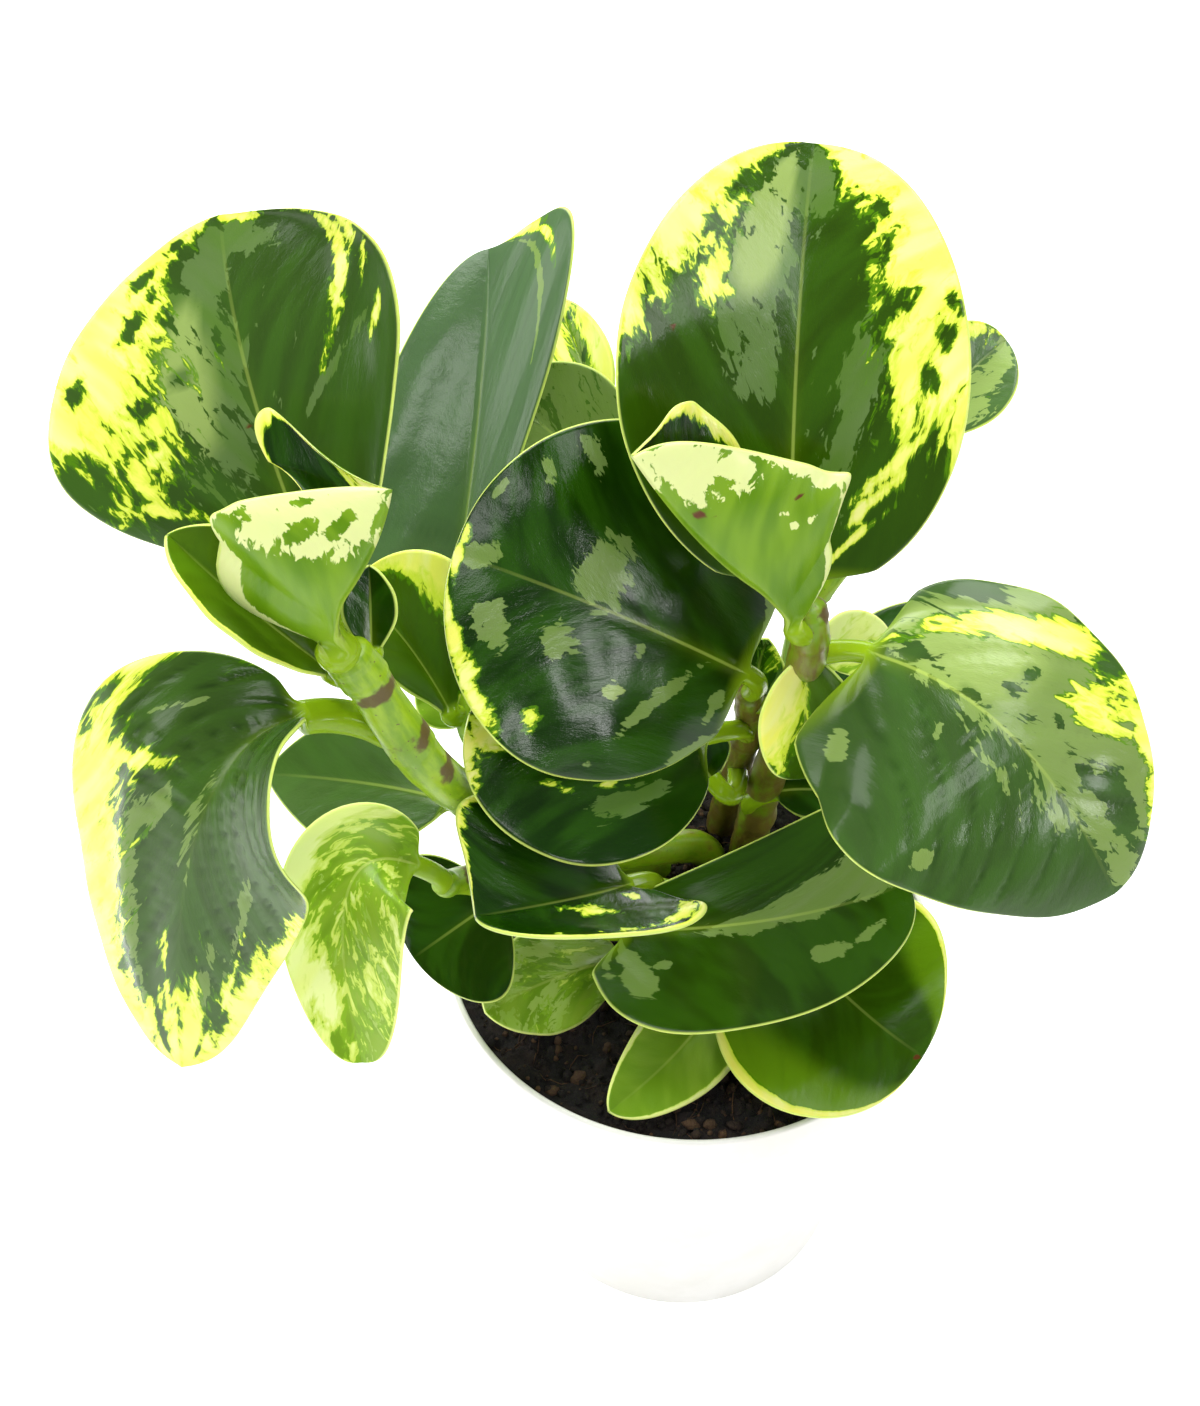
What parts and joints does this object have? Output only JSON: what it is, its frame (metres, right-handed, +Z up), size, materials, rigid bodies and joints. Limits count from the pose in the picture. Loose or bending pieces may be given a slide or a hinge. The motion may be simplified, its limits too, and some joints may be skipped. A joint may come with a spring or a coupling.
{
  "type": "potted house plant",
  "caption": "Variegated blunt-leaved peperomia with thick waxy green and cream leaves in a plain white pot of dark soil.",
  "frame": {"origin": "middle of the pot's flat base", "axes": "+Z up, -Y towards the viewer of the plant's front, +X to that viewer's right"},
  "size_m": [0.2214, 0.1737, 0.3003],
  "materials": {
    "leaf": "gloss",
    "pale_leaf": "satin",
    "stem": "satin",
    "soil": "matte",
    "pot": "satin"
  },
  "bodies": {
    "root": {"pot": "pot", "soil": "soil", "stem_left": "stem", "stem_right": "stem", "stem_middle": "stem", "stem_low_left": "stem", "stem_left_branch": "stem", "stem_front": "stem", "stem_front_right": "stem", "stem_back": "stem", "stem_back_right": "stem", "leaf_upper_left": "leaf", "leaf_young_left": "leaf", "leaf_upper_back": "leaf", "leaf_upper_right": "leaf", "leaf_young_right": "leaf", "leaf_centre": "leaf", "leaf_right": "leaf", "leaf_drooping_left": "leaf", "leaf_hanging_left": "pale_leaf", "leaf_centre_low": "leaf", "leaf_front_folded": "leaf", "leaf_front": "leaf", "leaf_front_right": "leaf", "leaf_rim_front": "pale_leaf", "leaf_rim_left": "pale_leaf", "leaf_low_left": "leaf", "leaf_behind_left": "leaf", "leaf_inner_left": "leaf", "leaf_narrow_left": "leaf", "leaf_back_folded": "leaf", "leaf_back_centre": "leaf", "leaf_back_right": "leaf", "leaf_small_cupped": "leaf", "leaf_pale_right": "pale_leaf", "leaf_small_mottled": "leaf", "leaf_small_left": "leaf", "leaf_pale_inner": "pale_leaf", "leaf_small_middle": "leaf", "leaf_small_low": "leaf", "leaf_far_left": "leaf", "leaf_far_right": "leaf", "leaf_side_left": "leaf", "leaf_side_right": "leaf", "leaf_far_low": "leaf", "leaf_back_high": "leaf", "leaf_back_tall": "leaf", "leaf_side_high": "leaf", "leaf_far_small": "leaf"}
  },
  "joints": []
}
